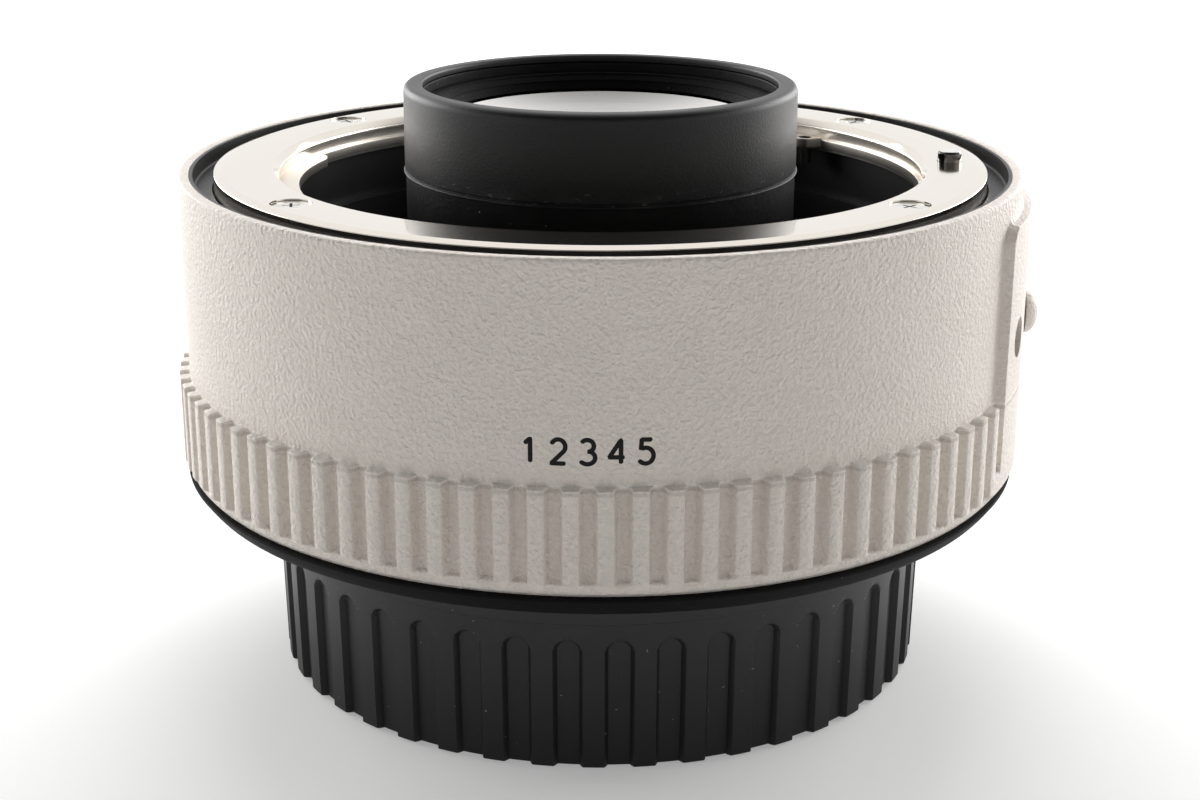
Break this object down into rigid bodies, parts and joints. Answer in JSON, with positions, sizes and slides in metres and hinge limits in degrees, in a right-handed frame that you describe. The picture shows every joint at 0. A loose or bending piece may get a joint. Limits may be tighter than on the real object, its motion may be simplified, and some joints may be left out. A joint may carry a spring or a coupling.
{
  "type": "camera teleconverter",
  "caption": "Short white lens extender with a black optics tube in its throat, bayonet mounts, a side release knob, ribbed grip and a black rear cap.",
  "frame": {"origin": "centre of the rear cap's flat foot, on the optical axis", "axes": "+Z along the optical axis towards the lens side; -Y towards the side with the contacts and the plain front of the barrel; +X towards the release knob"},
  "size_m": [0.0734, 0.0724, 0.0497],
  "materials": {
    "white_paint": "fine textured white lacquer",
    "black_lacquer": "satin black lacquer on aluminium",
    "flat_black": "matt black optical paint",
    "nickel": "polished nickel plating",
    "screw_steel": "nickelled steel",
    "black_screw": "blackened steel",
    "spring_steel": "bare spring steel",
    "gold_contact": "gold plated brass",
    "knob_metal": "turned steel",
    "sleeve_rubber": "satin black rubber",
    "coated_glass": "coated optical glass",
    "block_plastic": "black moulded plastic",
    "cap_plastic": "grained black plastic",
    "board_green": "solder resist over glass fibre",
    "chip_black": "moulded epoxy",
    "connector_white": "moulded nylon",
    "flex_amber": "polyimide film",
    "index_red": "gloss red"
  },
  "bodies": {
    "barrel": {"outer_barrel": "white_paint", "front_trim_ring": "black_lacquer", "lens_mount_ring": "nickel", "lens_mount_screws": "screw_steel", "bayonet_spring": "spring_steel", "rotation_stop_pin": "screw_steel", "inner_chassis": "block_plastic", "chassis_floor": "block_plastic", "lock_pin_spring": "spring_steel", "slider_guide": "screw_steel", "slider_guide_screws": "black_screw", "front_contact_block": "block_plastic", "contact_pin_springs": "spring_steel", "contact_backplate": "board_green", "contact_block_screws": "screw_steel", "front_flex": "flex_amber", "rear_flex": "flex_amber", "circuit_board": "board_green", "board_chips": "chip_black", "board_connectors": "connector_white", "board_screws": "screw_steel", "lens_tube": "flat_black", "lens_tube_screws": "screw_steel", "tube_sleeve": "sleeve_rubber", "front_retaining_ring": "flat_black", "rear_retaining_ring": "flat_black", "lens_element_1": "coated_glass", "lens_element_2": "coated_glass", "lens_element_3": "coated_glass", "lens_element_4": "coated_glass", "lens_element_5": "coated_glass", "front_spacer": "flat_black", "rear_spacer": "flat_black", "rear_plate": "black_lacquer", "rear_plate_screws": "screw_steel", "mount_shim": "spring_steel", "rear_mount_ring": "nickel", "rear_mount_screws": "screw_steel", "rear_cover": "black_lacquer", "rear_baffle": "block_plastic", "rear_contact_block": "block_plastic", "rear_contact_pads": "gold_contact", "rear_contact_screws": "screw_steel", "lens_index_dot": "index_red", "camera_index_dot": "index_red"},
    "rear_cap": {"rear_cap": "cap_plastic"},
    "release": {"release_slider": "screw_steel", "release_knob": "knob_metal"},
    "lock_pin": {"lens_lock_pin": "screw_steel", "lock_pin_dowel": "screw_steel"},
    "contact_pins": {"front_contact_pins": "gold_contact"}
  },
  "joints": [
    {"name": "cap_pull", "type": "slide", "parent": "barrel", "child": "rear_cap", "axis": [0, 0, -1], "range_m": [0, 0.03]},
    {"name": "release_slide", "type": "hinge", "parent": "barrel", "child": "release", "pos_m": [0, 0, 0.0309], "axis": [0, 0, 1], "range_deg": [0, 5], "stiffness_Nm_per_rad": 0.05, "springref_deg": -5.73},
    {"name": "lock_pin_drop", "type": "slide", "parent": "barrel", "child": "lock_pin", "axis": [0, 0, -1], "range_m": [0, 0.00131], "deforming": ["lock_pin_spring"]},
    {"name": "contact_press", "type": "slide", "parent": "barrel", "child": "contact_pins", "axis": [0, 0, -1], "range_m": [0, 0.0008], "stiffness_N_per_m": 2750, "springref_m": -0.0002, "deforming": ["contact_pin_springs"]}
  ],
  "couplings": [
    {"joint": "lock_pin_drop", "follows": "release_slide", "m_per_rad": 0.014897}
  ]
}
